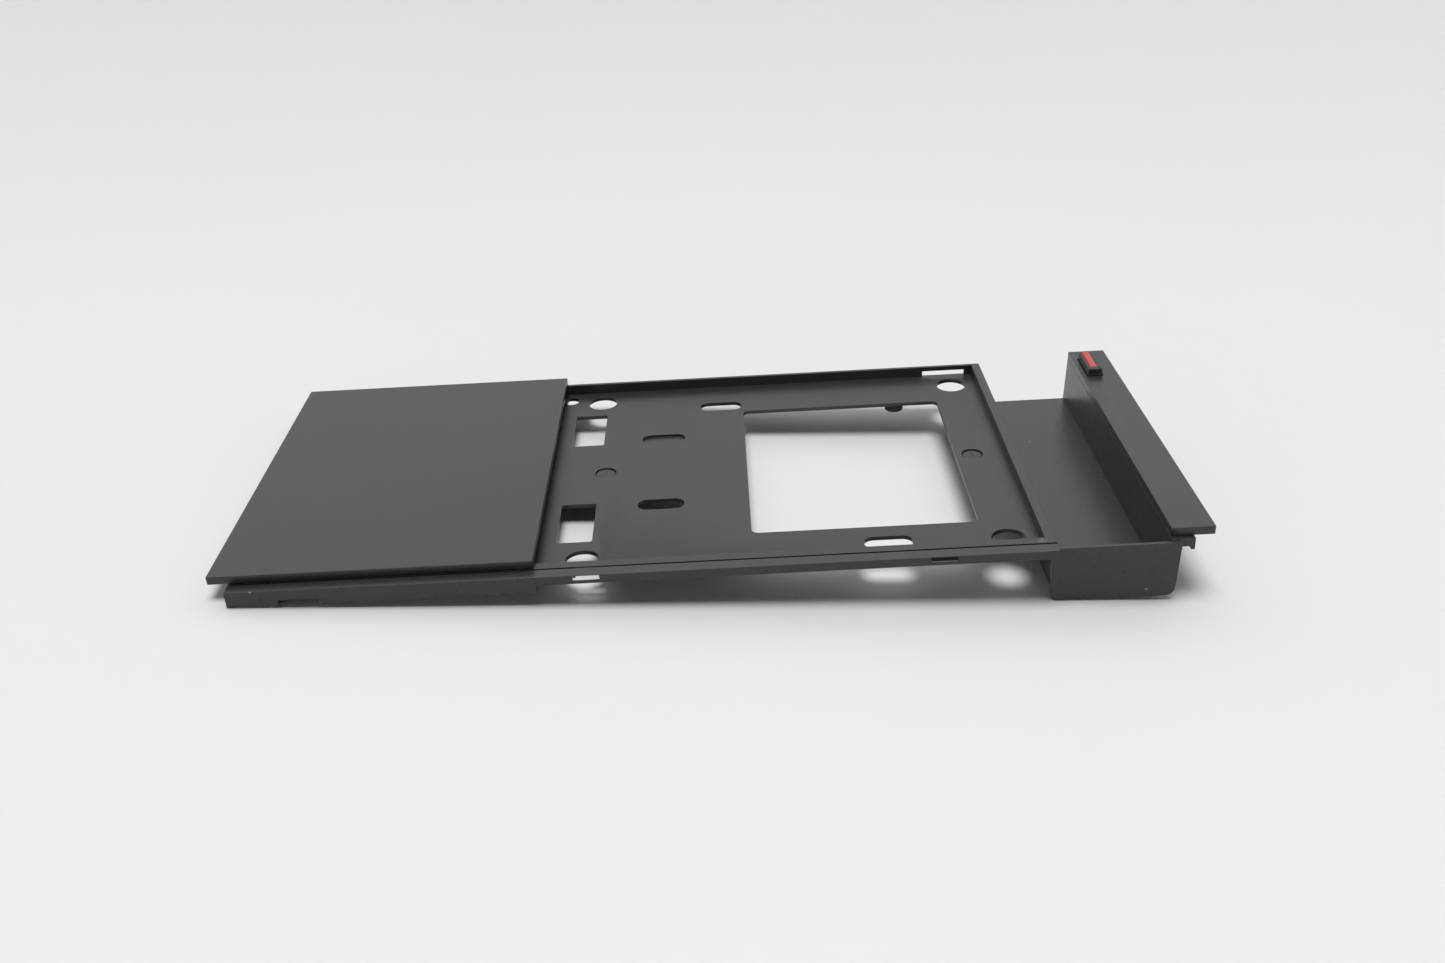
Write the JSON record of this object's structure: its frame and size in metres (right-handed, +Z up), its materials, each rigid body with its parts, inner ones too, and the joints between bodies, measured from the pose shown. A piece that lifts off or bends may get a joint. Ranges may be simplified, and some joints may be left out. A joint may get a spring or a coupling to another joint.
{
  "type": "cpu holder",
  "caption": "Flat desk carrier for a small computer: recessed pierced bay, sliding cover plate at one end, cable trough and cap strip with a sprung release button at the other",
  "frame": {"origin": "centre of the bounding box in X and Y, at the underside of the cable trough in Z", "axes": "+X along the holder from the cover plate to the cable trough, +Y from the near side (ledge) to the far side, +Z up, bay floor level"},
  "size_m": [0.434, 0.196, 0.0343],
  "materials": {
    "black_plastic": "fine moulded texture, black",
    "tray_plastic": "fine moulded texture, black",
    "plate_plastic": "smooth satin face, black",
    "button_plastic": "smooth, deep black",
    "stripe": "satin red inlay",
    "glide_plastic": "slippery moulded plastic, dark grey",
    "steel": "zinc-plated steel",
    "black_steel": "black-coated steel",
    "rubber": "matte black rubber"
  },
  "bodies": {
    "holder": {"base_frame": "black_plastic", "cable_trough": "black_plastic", "tray": "tray_plastic", "rail_cap": "plate_plastic", "cap_screws": "steel", "button_springs": "steel", "latch_housing": "black_plastic", "housing_screws": "steel", "tray_screws": "black_steel", "trough_screws": "steel", "rubber_bumpers": "rubber"},
    "cover": {"cover_plate": "plate_plastic", "cover_runners": "glide_plastic", "runner_screws": "steel"},
    "button": {"release_button": "button_plastic", "button_stripe": "stripe", "drive_pin": "steel"},
    "bolt": {"latch_bolt": "glide_plastic"}
  },
  "joints": [
    {"name": "cover_slide", "type": "slide", "parent": "holder", "child": "cover", "axis": [-1, 0, 0], "range_m": [0, 0.072]},
    {"name": "button_press", "type": "slide", "parent": "holder", "child": "button", "axis": [0, 0, -1], "range_m": [0, 0.0024], "stiffness_N_per_m": 300, "springref_m": -0.003, "deforming": ["button_springs"]},
    {"name": "bolt_draw", "type": "slide", "parent": "holder", "child": "bolt", "axis": [-1, 0, 0], "range_m": [0, 0.0018]}
  ],
  "couplings": [
    {"joint": "bolt_draw", "follows": "button_press", "ratio": 0.75}
  ]
}
